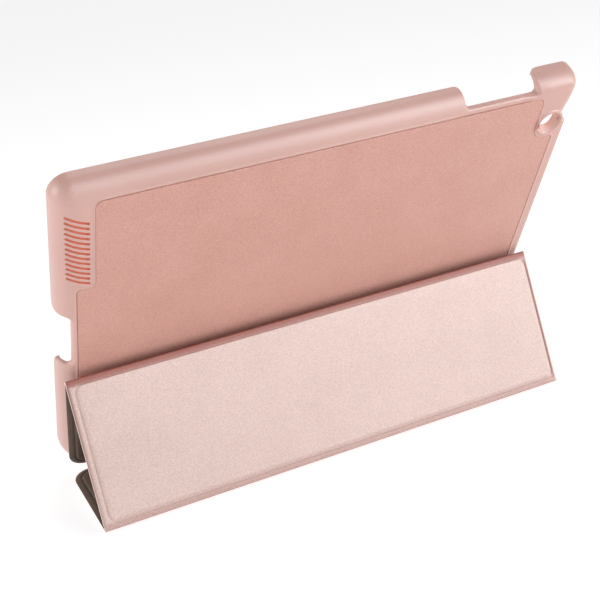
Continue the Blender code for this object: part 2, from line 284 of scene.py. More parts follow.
def outer_shape(x, y, z):
    """The tray's outside, with the thinner band along its open side blended into the upper corner."""
    share = bumper_share(x, y)
    corner = np.where(x > 0, TOP_RIGHT_RADIUS, TOP_LEFT_RADIUS)
    corner = np.where(y > HEIGHT / 2, corner, CORNER_RADIUS)
    outline = rounded_box(x, y, -HALF_LENGTH, HALF_LENGTH, 0, HEIGHT, corner) - BUMPER_GROWTH * share
    tray = domed(outline, z, edge_inset(x, y), EDGE_DROP)
    band_outline = rounded_box(x, y, BAND_LEFT, BAND_RIGHT, CORNER_RADIUS, SIDE_HIGH + 1.0, 2.0)
    band = domed(band_outline, z, BAND_ROUND, BAND_ROUND)
    across = np.clip((x - BLEND_FROM[0]) / BLEND_FADE[0], 0, 1)
    up = np.clip((y - BLEND_FROM[1]) / BLEND_FADE[1], 0, 1)
    blend = BAND_BLEND * across * up + 1e-6
    near = np.maximum(blend - np.abs(tray - band), 0)
    return round_cut(np.minimum(tray, band) - near * near / (4 * blend), -DEPTH - z, 0.6)


def cavity_shape(x, y, z):
    """The tablet's space, and the narrower mouth that the lip leaves."""
    wall = rounded_box(x, y, SIDE_WALL - HALF_LENGTH, HALF_LENGTH - SIDE_WALL, HINGE_WALL, HEIGHT - TOP_WALL,
                       CORNER_RADIUS - SIDE_WALL)
    space = domed(wall, z + FLOOR_DEPTH, CAVITY_INSET, CAVITY_DROP)
    lip_z = LIP_HEIGHT - DEPTH
    mouth = np.maximum(wall + LIP_OVERHANG, z - lip_z - 0.5)
    return np.minimum(round_cut(space, lip_z - z, 0.3), mouth)


def inlay_shape(x, y, low):
    """Plan of the inlay: stepped beside the speaker slots, with a bay round the camera."""
    middle = rounded_box(x, y, INLAY_LEFT_UPPER, INLAY_RIGHT_UPPER, low, INLAY_TOP, 3.5)
    left = rounded_box(x, y, INLAY_LEFT, 0, low, INLAY_STEP_Y, 2.5)
    right = rounded_box(x, y, 0, INLAY_RIGHT, low, INLAY_CAMERA_Y, 1.2)
    return np.minimum(fillet_union(middle, left, 3.0), fillet_union(middle, right, 6.5))


def fillet_union(a, b, radius):
    """Union with a fillet, left alone where both shapes are far inside or share an edge."""
    return np.where((a > -0.001) & (b > -0.001), round_union(a, b, radius), np.minimum(a, b))


def slot_shape(x, y):
    """Plan distance to the nearest speaker slot."""
    along = np.clip((x - SLOT_INNER_X) / (SLOT_OUTER_X - SLOT_INNER_X), 0, 1)
    slope = SLOT_RISE / (SLOT_OUTER_X - SLOT_INNER_X)
    level = y - SLOT_FIRST_Y - SLOT_RISE * along
    row = np.clip(np.round(-level / SLOT_PITCH), 0, SLOT_COUNT - 1)
    across = (level + row * SLOT_PITCH) / np.sqrt(1 + slope * slope)
    beyond = np.maximum(np.maximum(x - SLOT_INNER_X, SLOT_OUTER_X - x), 0)
    return np.hypot(across, beyond) - SLOT_WIDTH / 2


def camera_shape(x, y, z):
    depth = np.clip(-z / FLOOR_DEPTH, -0.3, 1.2)
    centre_x = FUNNEL[0] + (CAMERA[0] - FUNNEL[0]) * depth
    centre_y = FUNNEL[1] + (CAMERA[1] - FUNNEL[1]) * depth
    radius = FUNNEL[2] + (CAMERA[2] - FUNNEL[2]) * depth
    return np.maximum(np.hypot(x - centre_x, y - centre_y) - radius, -CAMERA_DEPTH - z)


def with_funnel_rim(body, x, y, z):
    """A soft raised ring round the camera's funnel."""
    ring = np.hypot(x - FUNNEL[0], y - FUNNEL[1]) - FUNNEL[2] - FUNNEL_RIM_OFFSET
    rim = np.hypot(ring, z + 0.1) - FUNNEL_RIM
    blend = np.clip(0.5 + (rim - body) / FUNNEL_BLEND, 0, 1)
    return rim + (body - rim) * blend - FUNNEL_BLEND / 2 * blend * (1 - blend)


def with_inlay_bead(body, x, y):
    """A slight bead in the plastic all round the inlay, except along the volume ledge."""
    beside_inlay = (inlay_shape(x, y, -10) - BEAD_GAP) / BEAD_WIDTH
    clear_of_ledge = np.clip(np.maximum(VOLUME_LEFT - 2 - x, BEAD_STOP_Y - y) / 4, 0, 1)
    return body - BEAD_HEIGHT * clear_of_ledge * np.exp(-beside_inlay * beside_inlay)


def opening(low, inner, high, corner):
    """What stays beside an opening: two wall ends and the edge between them, with rounded inner corners."""
    return round_union(round_union(low, inner, corner), high, corner)


def dock_opening(x, y, z):
    below = wall_end(y - DOCK_LOW, z, DOCK_LOW_ROUND)
    above = wall_end(DOCK_HIGH - y, z, DOCK_HIGH_ROUND)
    return opening(below, DOCK_INNER_X - x, above, DOCK_CORNER)


def volume_opening(x, y, z):
    before = wall_end(x - VOLUME_LEFT, z, VOLUME_LEFT_ROUND)
    bow = VOLUME_BOW * np.sin(math.pi * np.clip(-z / DEPTH, 0, 1))
    after = wall_end(VOLUME_RIGHT - bow - x, z, VOLUME_RIGHT_ROUND)
    return opening(before, y - VOLUME_INNER_Y + VOLUME_SLOPE * z, after, OPENING_CORNER)


def side_opening(x, y, z):
    low_end = wall_end(y - SIDE_LOW, z, SIDE_END_ROUND)
    high_end = wall_end(SIDE_HIGH - y, z, SIDE_END_ROUND)
    side = opening(low_end, -SIDE_EDGE_DEPTH - z, high_end, OPENING_CORNER)
    return np.minimum(side, x - SIDE_INNER_X)


def hinge_opening(x, y, z):
    ends = wall_end(HINGE_GAP_HALF - np.abs(x), z, HINGE_END_ROUND)
    edge = round_union(ends, -HINGE_EDGE_DEPTH - z, OPENING_CORNER)
    return np.minimum(edge, HINGE_EDGE_REACH - y)


def shell_shape(x, y, z):
    """Distance to the back shell's surface, negative inside the plastic."""
    body = with_funnel_rim(outer_shape(x, y, z), x, y, z)
    body = with_inlay_bead(body, x, y)
    body = round_cut(body, dock_opening(x, y, z), DOCK_ROUND)
    body = round_cut(body, volume_opening(x, y, z), VOLUME_ROUND)
    body = round_cut(body, side_opening(x, y, z), RIM_ROUND)
    body = round_cut(body, hinge_opening(x, y, z), RIM_ROUND)
    body = round_cut(body, -cavity_shape(x, y, z), 0.3)
    recess = np.maximum(inlay_shape(x, y, -10) - INLAY_GAP, -INLAY_RECESS - z)
    body = round_cut(body, -recess, 0.2)
    body = round_cut(body, -slot_shape(x, y), 0.25)
    return round_cut(body, -camera_shape(x, y, z), 0.4)


def grid_lines(*stretches):
    """Grid lines through (end, step) stretches after a start value."""
    lines = [stretches[0]]
    for end, step in stretches[1:]:
        count = max(1, round((end - lines[-1]) / step))
        lines += list(np.linspace(lines[-1], end, count + 1)[1:])
    return np.array(lines)


def gradient(shape, points, h=0.004):
    x, y, z = points.T
    return np.stack([
        shape(x + h, y, z) - shape(x - h, y, z),
        shape(x, y + h, z) - shape(x, y - h, z),
        shape(x, y, z + h) - shape(x, y, z - h),
    ], 1) / (2 * h)


def crossings(value, lines, axis):
    """Grid edges along one axis that cross the surface: four cells round each, its place and its side."""
    inside = value < 0
    near = [slice(None)] * 3
    far = [slice(None)] * 3
    near[axis] = slice(0, -1)
    far[axis] = slice(1, None)
    crossed = np.argwhere(inside[tuple(near)] != inside[tuple(far)])
    after = crossed.copy()
    after[:, axis] += 1
    low = value[tuple(crossed.T)]
    high = value[tuple(after.T)]
    place = np.stack([lines[k][crossed[:, k]] for k in range(3)], 1)
    step = lines[axis][after[:, axis]] - place[:, axis]
    place[:, axis] += step * low / (low - high)
    cells = np.array(value.shape) - 1
    strides = np.array((cells[1] * cells[2], cells[2], 1))
    ring = []
    for a, b in ((1, 1), (0, 1), (0, 0), (1, 0)):
        cell = crossed.copy()
        cell[:, (axis + 1) % 3] -= a
        cell[:, (axis + 2) % 3] -= b
        ring.append(cell @ strides)
    return np.stack(ring, 1), place, low >= 0


def surface_net(shape, xs, ys, zs):
    """Points and four-sided faces of a shape's surface on a grid of uneven lines."""
    lines = (xs, ys, zs)
    value = shape(*np.meshgrid(xs, ys, zs, indexing="ij"))
    found = zip(*[crossings(value, lines, axis) for axis in range(3)])
    ids, places, flips = (np.concatenate(part) for part in found)
    places = np.repeat(places, 4, axis=0)
    _, index = np.unique(ids.ravel(), return_inverse=True)
    count = np.bincount(index)
    points = np.stack([np.bincount(index, places[:, k]) / count for k in range(3)], 1)
    faces = index.reshape(-1, 4)
    faces[flips] = faces[flips][:, ::-1]
    return points, faces


def settle(shape, points, rounds=4, most=0.25):
    """Points moved onto a shape's surface along its gradient."""
    for _ in range(rounds):
        slope = gradient(shape, points)
        steep = np.maximum((slope * slope).sum(1), 0.05)
        move = slope * (shape(*points.T) / steep)[:, None]
        far = np.linalg.norm(move, axis=1) / most
        points = points - move / np.maximum(far, 1)[:, None]
    return points


def mesh_piece(name, points, faces):
    mesh = bpy.data.meshes.new(name)
    mesh.from_pydata(points.tolist(), [], [f.tolist() for f in faces])
    mesh.validate()
    piece = bpy.data.objects.new(name, mesh)
    bpy.context.scene.collection.objects.link(piece)
    return piece


def apply_modifiers(piece):
    evaluated = piece.evaluated_get(bpy.context.evaluated_depsgraph_get())
    mesh = bpy.data.meshes.new_from_object(evaluated)
    piece.modifiers.clear()
    old = piece.data
    piece.data = mesh
    bpy.data.meshes.remove(old)


def make_shell():
    """The tray's mesh, on grid lines that are closer at the corners, the openings and the speaker slots."""
    xs = grid_lines(-124.2, (-104.5, 0.42), (60, 4.0), (67, 0.42), (97, 4.0), (125.0, 0.42))
    ys = grid_lines(-1.0, (9, 0.42), (16, 1.0), (36, 0.6), (70, 4.0), (86, 0.42), (106, 2.5), (118, 0.42),
                    (131, 1.5), (190.8, 0.36))
    zs = grid_lines(-13.1, (-11.0, 0.35), (-4.8, 0.5), (-3.2, 0.4), (0.9, 0.28))
    points, faces = surface_net(shell_shape, xs, ys, zs)
    points = settle(shell_shape, points)
    piece = mesh_piece("shell", points, faces)
    thin = piece.modifiers.new("thin", "DECIMATE")
    thin.ratio = 0.45
    apply_modifiers(piece)
    shade_shell(piece)
    return piece


def shade_shell(piece):
    """Exact normals from the shape, and the attribute that sets the painted shade and bounce light in its hollows.
    """
    mesh = piece.data
    places = np.zeros(len(mesh.vertices) * 3)
    mesh.vertices.foreach_get("co", places)
    places = places.reshape(-1, 3)
    normals = gradient(shell_shape, places)
    normals /= np.maximum(np.linalg.norm(normals, axis=1), 1e-9)[:, None]
    mesh.shade_smooth()
    mesh.normals_split_custom_set_from_vertices(normals.tolist())
    share = mesh.attributes.new("painted_hollow_shade", "FLOAT", "POINT")
    share.data.foreach_set("value", hollow_painted_shade(*places.T))


def hollow_painted_shade(x, y, z):
    """Strength of the painted shade and bounce light: 1 deep inside a speaker slot, less in the funnel and the
    inlay's gap, where plastic lights itself.
    """
    deep = -outer_shape(x, y, z)
    floor_left = np.clip(cavity_shape(x, y, z) / 0.4, 0, 1)
    slot = np.clip((deep - 0.1) / 0.7, 0, 1) * (slot_shape(x, y) < 0.5) * floor_left
    funnel = FUNNEL_PAINTED_SHADE * np.clip(deep / 2.0, 0, 1) * (camera_shape(x, y, z) < 0.5) * floor_left
    at_inlay = (np.abs(inlay_shape(x, y, -10) - INLAY_GAP) < 0.25) * (z > -1.2)
    recess = RECESS_PAINTED_SHADE * np.clip(deep / 0.25, 0, 1) * at_inlay
    return np.maximum(np.maximum(slot, funnel), recess)


# outlines and lofts

def rounded_outline(corners, steps=8):
    """Outline through (x, y, radius) corners, each corner turned into an arc."""
    points = []
    for i, (x, y, radius) in enumerate(corners):
        here = Vector((x, y))
        before = (Vector(corners[i - 1][:2]) - here).normalized()
        after = (Vector(corners[(i + 1) % len(corners)][:2]) - here).normalized()
        half = before.angle(after) / 2
        middle = here + (before + after).normalized() * radius / math.sin(half)
        start = here + before * radius / math.tan(half) - middle
        turn = start.angle_signed(here + after * radius / math.tan(half) - middle)
        for k in range(steps + 1):
            points.append(middle + Matrix.Rotation(-turn * k / steps, 2) @ start)
    return points


def rectangle(x0, x1, y0, y1, low_radius, high_radius):
    return rounded_outline([(x0, y0, low_radius), (x1, y0, low_radius), (x1, y1, high_radius),
                            (x0, y1, high_radius)])


def inset_outline(outline, distance):
    """Outline brought in by a small distance, for one that runs anticlockwise."""
    moved = []
    count = len(outline)
    for k, place in enumerate(outline):
        before = (place - outline[k - 1]).normalized()
        after = (outline[(k + 1) % count] - place).normalized()
        run = before + after
        inward = Vector((-run.y, run.x)).normalized()
        stretch = max(inward.dot(Vector((-after.y, after.x))), 0.4)
        moved.append(place + inward * distance / stretch)
    return moved


def mix_outlines(a, b, share):
    return [p.lerp(q, share) for p, q in zip(a, b)]


def loft(name, rings, matrix, close_ends=True):
    """Piece through rings of (x, y, z) millimetre points in a frame, closed at both ends."""
    bm = bmesh.new()
    rows = [[bm.verts.new(matrix @ (Vector(point) * MM)) for point in ring] for ring in rings]
    count = len(rows[0])
    if close_ends:
        bm.faces.new(rows[0][::-1])
        bm.faces.new(rows[-1])
    for low, high in zip(rows, rows[1:]):
        for k in range(count):
            after = (k + 1) % count
            bm.faces.new((low[k], low[after], high[after], high[k]))
    bmesh.ops.recalc_face_normals(bm, faces=bm.faces)
    mesh = bpy.data.meshes.new(name)
    bm.to_mesh(mesh)
    bm.free()
    piece = bpy.data.objects.new(name, mesh)
    bpy.context.scene.collection.objects.link(piece)
    return piece


def smooth(piece, angle=40.0):
    piece.data.shade_smooth()
    piece.data.set_sharp_from_angle(angle=math.radians(angle))
    return piece


def at_height(outline, z):
    return [(p.x, p.y, z) for p in outline]


def make_inlay(matrix):
    outline = rounded_outline([
        (INLAY_LEFT, INLAY_START, 0.3), (INLAY_RIGHT, INLAY_START, 0.3),
        (INLAY_RIGHT, INLAY_CAMERA_Y, 1.2), (INLAY_RIGHT_UPPER, INLAY_CAMERA_Y, 6.5),
        (INLAY_RIGHT_UPPER, INLAY_TOP, 3.5), (INLAY_LEFT_UPPER, INLAY_TOP, 3.5),
        (INLAY_LEFT_UPPER, INLAY_STEP_Y, 3.0), (INLAY_LEFT, INLAY_STEP_Y, 2.5),
    ])
    rings = [at_height(outline, INLAY_BOTTOM_Z), at_height(outline, INLAY_TOP_Z - INLAY_ROUND)]
    for k in range(1, 5):
        angle = math.pi / 2 * k / 4
        rings.append(at_height(inset_outline(outline, INLAY_ROUND * (1 - math.cos(angle))),
                               INLAY_TOP_Z - INLAY_ROUND * (1 - math.sin(angle))))
    rings.append(at_height(inset_outline(outline, 0.8), INLAY_TOP_Z))
    return smooth(loft("inlay", rings, matrix), 50)


# cover pieces

def eased(share):
    share = min(max(share, 0.0), 1.0)
    return share * share * (3 - 2 * share)


def fold_sink(distance):
    """How much lower the leather lies this far from a fold."""
    return (HEM_FACE - FOLD_FACE) * (1 - eased(distance / FOLD_REACH))


def panel_layer(name, matrix, half, span, board_span, corners, side, inner, folds=()):
    """Skin or lining over a board: a thin hem, a pressed groove and the raised board behind it.

    side is -1 for the skin and +1 for the lining, inner is the height of the layer's inner side, and folds
    are (place along Y, tone) pairs: the hem sinks towards each place and gets painted shade by its tone.
    """
    right = half + RIGHT_EXTRA
    outer = rectangle(-half, right, span[0], span[1], *corners)
    board_corners = [max(BOARD_CORNER, c - HEM) for c in corners]
    board = rectangle(-half + HEM, right - HEM_RIGHT, board_span[0], board_span[1], *board_corners)

    def ring(outline, height, groove=0.0):
        points = []
        for p in outline:
            near = min([abs(p.y - place) for place, _ in folds], default=10.0)
            sink = fold_sink(near) + groove * eased((near - 2.0) / 2.5)
            points.append((p.x, p.y, side * (height - sink)))
        return points

    rings = [
        at_height(inset_outline(board, 0.6), side * inner),
        at_height(inset_outline(board, -0.2), side * inner),
        at_height(mix_outlines(outer, board, 0.7), side * 0.01),
        at_height(inset_outline(outer, 0.06), side * 0.01),
        at_height(outer, side * 0.04),
        ring(outer, HEM_FACE - HEM_ROLL - HEM_EDGE),
    ]
    for k in range(1, 4):
        angle = math.pi / 2 * k / 3
        rings.append(ring(inset_outline(outer, HEM_EDGE * (1 - math.cos(angle))),
                          HEM_FACE - HEM_ROLL - HEM_EDGE * (1 - math.sin(angle))))
    inside = inset_outline(outer, HEM_EDGE)
    groove_edge = inset_outline(board, -GROOVE_OUTSIDE)
    for share in (0.25, 0.5, 0.75, 1.0):
        rings.append(ring(mix_outlines(inside, groove_edge, share), HEM_FACE - HEM_ROLL * (1 - share) ** 2))
    for k in range(1, 5):
        rings.append(ring(inset_outline(board, 0.15 * k - GROOVE_OUTSIDE), HEM_FACE, GROOVE * eased(k / 4)))
    for k in range(1, 7):
        rise = eased(k / 6)
        rings.append(ring(inset_outline(board, 0.7 * k / 6 - 0.3), HEM_FACE + (FACE - HEM_FACE) * rise,
                          GROOVE * (1 - rise)))
    rings.append(ring(inset_outline(board, 2.2), FACE))
    piece = smooth(loft(name, rings, matrix), 60)
    # painted shade near the folds and in the right hem
    paint_fold_shade(piece, matrix, folds, right - HEM_RIGHT)
    return piece


def paint_fold_shade(piece, matrix, folds, board_edge):
    """Attribute for painted shade on the leather: highest at a fold, 0 on the board, a little in the right hem."""
    share = piece.data.attributes.new("bend", "FLOAT", "POINT")
    back = matrix.inverted()
    for vertex, value in zip(piece.data.vertices, share.data):
        across, along, _ = (back @ vertex.co) / MM
        middle = abs(across - board_edge - HEM_RIGHT / 2) / (HEM_RIGHT / 2)
        shares = [(1 - min(abs(along - place) / FOLD_SHADE_REACH, 1)) * tone for place, tone in folds]
        value.value = max(shares + [RIGHT_HEM_SHADE * min(max(2 - 2 * middle, 0), 1)])


def build_cover(frames, skin, liner):
    """Skins and linings of the spine and the three panels.

    Each row of specs is a part's name and half width, the gaps its skin, lining and board leave at its two
    ends, its corner radii there, and the folds it has there.
    """
    free, fold = FREE_CORNER, FOLD_CORNER
    specs = (
        ("spine", SPINE_HALF, (1.9, 2.0), (1.9, 2.2), (3.2, 3.2), (fold, fold), (None, "spine")),
        ("panel_1", HALF_COVER, (0.0, SKIN_GAP), (0.0, LINER_GAP), (3.2, 2.3), (free, fold),
         (None, "ridge")),
        ("panel_2", HALF_COVER, (SKIN_GAP, SKIN_GAP), (LINER_GAP, LINER_GAP), (2.3, 1.9), (fold, fold),
         ("ridge", "foot")),
        ("panel_3", HALF_COVER, (SKIN_GAP, 0.0), (LINER_GAP, 0.0), (1.9, HEM), (fold, free),
         ("foot", None)),
    )
    for name, half, skin_gaps, liner_gaps, board_gaps, corners, fold_names in specs:
        matrix, length = frames[name]
        folds = [(place, FOLD_SHADE_TONE[bend]) for place, bend in zip((0.0, length), fold_names) if bend]
        board_span = (board_gaps[0], length - board_gaps[1])
        liner_board = (max(board_gaps[0], liner_gaps[0] + LINER_MARGIN),
                       length - max(board_gaps[1], liner_gaps[1] + LINER_MARGIN))
        skin_span = (skin_gaps[0], length - skin_gaps[1])
        liner_span = (liner_gaps[0], length - liner_gaps[1])
        top = panel_layer(f"{name}_leather", matrix, half, skin_span, board_span, corners, -1, SKIN_INNER,
                          folds)
        lining = panel_layer(f"{name}_lining", matrix, half, liner_span, liner_board, corners, 1,
                             LINER_INNER)
        for piece, material, node, slot in ((top, skin, "skin", "cover_leather"),
                                            (lining, liner, "liner", "liner_microfibre")):
            piece.data.materials.append(material)
            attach(piece, name)
            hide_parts(f"{name}_{node}")


def strip_dive(distance):
    """How far a strip's outer side sinks here: its ends go under the panels' hems."""
    return STRIP_DIVE * eased((distance - STRIP_REACH + 0.9) / 0.9)


def leather_height(distance):
    return HEM_FACE - fold_sink(distance) + STRIP_PROUD - strip_dive(distance)


def lining_height(distance):
    return LINING_STRIP_OUTER + STRIP_PROUD - strip_dive(distance)


def strip_side(height_at, side, angle, reach, corner, steps=12):
    """One side of a fold strip's section round a fold that turns by angle at the origin."""
    turned = Matrix.Rotation(angle, 2)
    before = [Vector((-reach * (1 - k / 8), side * height_at(reach * (1 - k / 8)))) for k in range(9)]
    ahead = [turned @ Vector((-p.x, p.y)) for p in before]
    if side * angle < 0:
        middle = [Matrix.Rotation(angle * k / steps, 2) @ before[-1] for k in range(1, steps)]
        return before + middle + ahead[::-1]
    meet = abs(before[-1].y) * math.tan(abs(angle) / 2)
    bend = min(meet + corner, reach * 0.9)
    before = [p for p in before if p.x < -bend] + [Vector((-bend, side * height_at(bend)))]
    ahead = [turned @ Vector((-p.x, p.y)) for p in before]
    peak = Vector((-meet, before[-1].y))
    middle = []
    for k in range(1, steps):
        t = k / steps
        middle.append(before[-1] * (1 - t) ** 2 + peak * 2 * t * (1 - t) + ahead[-1] * t * t)
    return before + middle + ahead[::-1]


def fold_strip(name, first, second, half, side, layer, reach):
    """Leather (side -1) or lining (+1) round one fold.

    layer is the height of its inner side and the function that gives its outer side's height.
    """
    matrix, length = first
    turn = matrix.to_3x3().inverted() @ second[0].to_3x3()
    angle = math.atan2(turn[2][1], turn[1][1])
    axis = matrix @ Matrix.Translation((0, length * MM, 0))
    inner_height, outer_height = layer
    outer = strip_side(outer_height, side, angle, reach, STRIP_CORNER)
    inner = strip_side(lambda distance: inner_height, side, angle, reach, STRIP_CORNER)
    ring = resample(outer, 34) + resample(inner, 34)[::-1]
    right = half + RIGHT_EXTRA
    stations = [-half, -half + 0.15, *np.linspace(-half + 1.5, right - 1.5, 40), right - 0.15, right]
    rings = []
    for x in stations:
        thinned = thin_towards(ring, STRIP_TAPER if x in (-half, right) else 0.0)
        rings.append([(x, y, z) for y, z in thinned])
    piece = smooth(loft(name, rings, axis), 60)
    # painted shade round the fold, darkest at its axis
    share = piece.data.attributes.new("bend", "FLOAT", "POINT")
    strength = FOLD_SHADE_TONE[name.split("_")[0]]
    for vertex, value in zip(piece.data.vertices, share.data):
        near = (vertex.co - axis.translation).yz.length / MM
        value.value = (1 - min(near / FOLD_SHADE_REACH, 1)) * strength
    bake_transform(piece)
    return piece


def resample(path, count):
    """A polyline's points again, evenly spaced along it."""
    points = np.array(path)
    steps = np.linalg.norm(np.diff(points, axis=0), axis=1)
    along = np.concatenate([[0], np.cumsum(steps)])
    at = np.linspace(0, along[-1], count)
    return [tuple(p) for p in np.stack([np.interp(at, along, points[:, k]) for k in range(2)], 1)]


def thin_towards(ring, amount):
    """A thin band's ring brought in by a small amount, each point towards the one across from it."""
    count = len(ring)
    moved = []
    for k, (y, z) in enumerate(ring):
        other = ring[count - 1 - k]
        gap = math.hypot(other[0] - y, other[1] - z)
        share = amount / max(gap, 1e-6)
        moved.append((y + (other[0] - y) * share, z + (other[1] - z) * share))
    return moved


def build_folds(frames, skin, liner):
    """Leather and lining strips round the three folds, each bending between its two parts."""
    joints = (
        ("spine_bend", "spine", "panel_1", "spine_crease", SPINE_HALF, 1.7),
        ("ridge_bend", "panel_1", "panel_2", "ridge_crease", HALF_COVER - 0.01, 1.2),
        ("foot_bend", "panel_2", "panel_3", "foot_crease", HALF_COVER - 0.01, 1.5),
    )
    for name, a, b, node, half, spread in joints:
        outer = fold_strip(f"{name}_leather", frames[a], frames[b], half, -1,
                           (LEATHER_STRIP_INNER, leather_height), STRIP_REACH)
        outer.data.materials.append(skin)
        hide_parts(node)
        inner = fold_strip(f"{name}_lining", frames[a], frames[b], half, 1,
                           (LINING_STRIP_INNER, lining_height), STRIP_REACH + 0.4)
        inner.data.materials.append(liner)


def build_hinge(matrix, skin):
    """Leather that comes off the inlay over the hinge edge and rolls back up as the spine."""
    centre = Vector((-HINGE_OFFSET, HINGE_OFFSET))
    along = Vector((math.cos(SPINE_LEAN), math.sin(SPINE_LEAN)))
    normal = Vector((-math.sin(SPINE_LEAN), math.cos(SPINE_LEAN)))
    ring = [Vector(p) for p in ((HINGE_TUCK, INLAY_TOP_Z), (2.0, INLAY_TOP_Z), (0.6, INLAY_TOP_Z + 0.05),
                                (-0.3, 0.05), (-0.75, 0.45))]
    ring += [centre - normal * 0.85 + along * 0.2, centre + along * 1.8 - normal * HEM_FACE]
    ring += [centre + along * 1.8 + normal * 0.6, centre + normal * 0.85 + along * 0.3]
    for k in range(13):
        turn = math.radians(100) + math.radians(170) * k / 12
        ring.append(centre + Vector((math.cos(turn), math.sin(turn))) * HINGE_ROLL)
    ring += [Vector(p) for p in ((-0.9, -0.35), (0.2, -0.72), (2.0, INLAY_BOTTOM_Z),
                                 (HINGE_TUCK, INLAY_BOTTOM_Z))]
    stations = [-SPINE_HALF, 0.15 - SPINE_HALF, *np.linspace(-SPINE_HALF + 2, SPINE_HALF - 2, 40),
                SPINE_HALF - 0.15, SPINE_HALF]
    rings = [[(x, p.x, p.y) for p in ring] for x in stations]
    piece = smooth(loft("hinge_bend_leather", rings, matrix), 50)
    piece.data.materials.append(skin)
    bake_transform(piece)
    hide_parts("hinge_crease")


# materials

def new_material(name):
    material = bpy.data.materials.new(name)
    material.use_nodes = True
    return material, material.node_tree, material.node_tree.nodes["Principled BSDF"]


def node(tree, kind, **settings):
    made = tree.nodes.new("ShaderNode" + kind)
    for key, value in settings.items():
        if key in made.inputs:
            made.inputs[key].default_value = value
        else:
            setattr(made, key, value)
    return made


def ramp(tree, source, stops):
    made = tree.nodes.new("ShaderNodeValToRGB")
    tree.links.new(source, made.inputs[0])
    elements = made.color_ramp.elements
    while len(elements) < len(stops):
        elements.new(0.5)
    for element, (position, colour) in zip(elements, stops):
        element.position = position
        element.color = (*colour, 1.0)
    return made.outputs["Color"]


def noise(tree, coordinates, scale, detail=2.0, roughness=0.5):
    made = node(tree, "TexNoise", Scale=scale, Detail=detail, Roughness=roughness)
    tree.links.new(coordinates, made.inputs["Vector"])
    return made.outputs["Fac"]


def mixed(tree, kind, factor, a, b):
    made = tree.nodes.new("ShaderNodeMix")
    made.data_type = "RGBA"
    made.blend_type = kind
    for socket, value in (("Factor", factor), ("A", a), ("B", b)):
        target = [s for s in made.inputs if s.name == socket and s.enabled][0]
        if hasattr(value, "is_output"):
            tree.links.new(value, target)
        else:
            target.default_value = value if socket == "Factor" else (*value, 1.0)
    return [s for s in made.outputs if s.enabled][0]


def bump(tree, height, strength, distance, normal=None):
    made = node(tree, "Bump", Strength=strength, Distance=distance)
    tree.links.new(height, made.inputs["Height"])
    if normal:
        tree.links.new(normal, made.inputs["Normal"])
    return made.outputs["Normal"]


def scaled(tree, factor, low, high):
    made = node(tree, "MapRange")
    made.inputs["To Min"].default_value = low
    made.inputs["To Max"].default_value = high
    tree.links.new(factor, made.inputs["Value"])
    return made.outputs["Result"]


def pearl_plastic():
    material, tree, shader = new_material("pearl_plastic")
    place = node(tree, "TexCoord").outputs["Object"]
    flake = noise(tree, place, 4200, 1.0)
    cloud = noise(tree, place, 28, 3.0)
    base = ramp(tree, cloud, [(0.3, (0.585, 0.325, 0.275)), (0.7, (0.615, 0.350, 0.300))])
    painted_hollow_shade = node(tree, "Attribute", attribute_name="painted_hollow_shade")
    # hollows painted deep orange-red: painted shade and bounce light in the slots, the funnel and the inlay's gap
    base = mixed(tree, "MIX", painted_hollow_shade.outputs["Fac"], base, (0.90, 0.25, 0.11))
    spark = ramp(tree, flake, [(0.35, (0.90, 0.885, 0.88)), (0.65, (1.0, 1.0, 1.0))])
    tree.links.new(mixed(tree, "MULTIPLY", 1.0, base, spark), shader.inputs["Base Color"])
    tree.links.new(scaled(tree, flake, 0.46, 0.58), shader.inputs["Roughness"])
    shader.inputs["Metallic"].default_value = 0.0
    shader.inputs["Specular IOR Level"].default_value = 0.8
    shader.inputs["Coat Weight"].default_value = 0.7
    shader.inputs["Coat Roughness"].default_value = 0.36
    peel = noise(tree, place, 900, 2.0)
    tree.links.new(bump(tree, peel, 0.12, 0.0001), shader.inputs["Normal"])
    return material


def grained_leather(name, dark, light, edge, fold_shade, roughness):
    """Fine embossed leather with a faint lustre; edge colours its cut edge, and the fold colour after it is
    painted shade along its folds.
    """
    material, tree, shader = new_material(name)
    place = node(tree, "TexCoord").outputs["Object"]
    cells = node(tree, "TexVoronoi", Scale=1900.0)
    tree.links.new(place, cells.inputs["Vector"])
    fine = noise(tree, place, 2600, 2.0)
    speck = noise(tree, place, 1900, 2.0, 0.6)
    cloud = noise(tree, place, 40, 4.0, 0.6)
    base = ramp(tree, cloud, [(0.25, dark), (0.75, light)])
    if edge:
        # painted shade: the dark fold colour mixed in where the bend attribute is high
        crease = node(tree, "Attribute", attribute_name="bend")
        depth = node(tree, "Math", operation="POWER")
        tree.links.new(crease.outputs["Fac"], depth.inputs[0])
        depth.inputs[1].default_value = 0.3
        base = mixed(tree, "MIX", depth.outputs[0], base, fold_shade)
    speckle = ramp(tree, speck, [(0.34, (0.84, 0.80, 0.79)), (0.66, (1.08, 1.09, 1.09))])
    colour = mixed(tree, "MULTIPLY", 1.0, base, speckle)
    if edge:
        split = node(tree, "SeparateXYZ")
        tree.links.new(place, split.inputs[0])
        distance = node(tree, "Math", operation="ABSOLUTE")
        tree.links.new(split.outputs["X"], distance.inputs[0])
        trim = node(tree, "MapRange")
        trim.inputs["From Min"].default_value = (HALF_COVER - 0.22) * MM
        trim.inputs["From Max"].default_value = (HALF_COVER - 0.08) * MM
        tree.links.new(distance.outputs[0], trim.inputs["Value"])
        colour = mixed(tree, "MIX", trim.outputs["Result"], colour, edge)
    tree.links.new(colour, shader.inputs["Base Color"])
    tree.links.new(scaled(tree, fine, roughness - 0.06, roughness + 0.10), shader.inputs["Roughness"])
    shader.inputs["Metallic"].default_value = 0.1
    shader.inputs["Coat Weight"].default_value = 0.25
    shader.inputs["Coat Roughness"].default_value = 0.42
    shader.inputs["Sheen Weight"].default_value = 0.15
    shader.inputs["Sheen Roughness"].default_value = 0.4
    grain = bump(tree, cells.outputs["Distance"], 0.4, 0.00012)
    tree.links.new(bump(tree, fine, 0.35, 0.00012, grain), shader.inputs["Normal"])
    return material


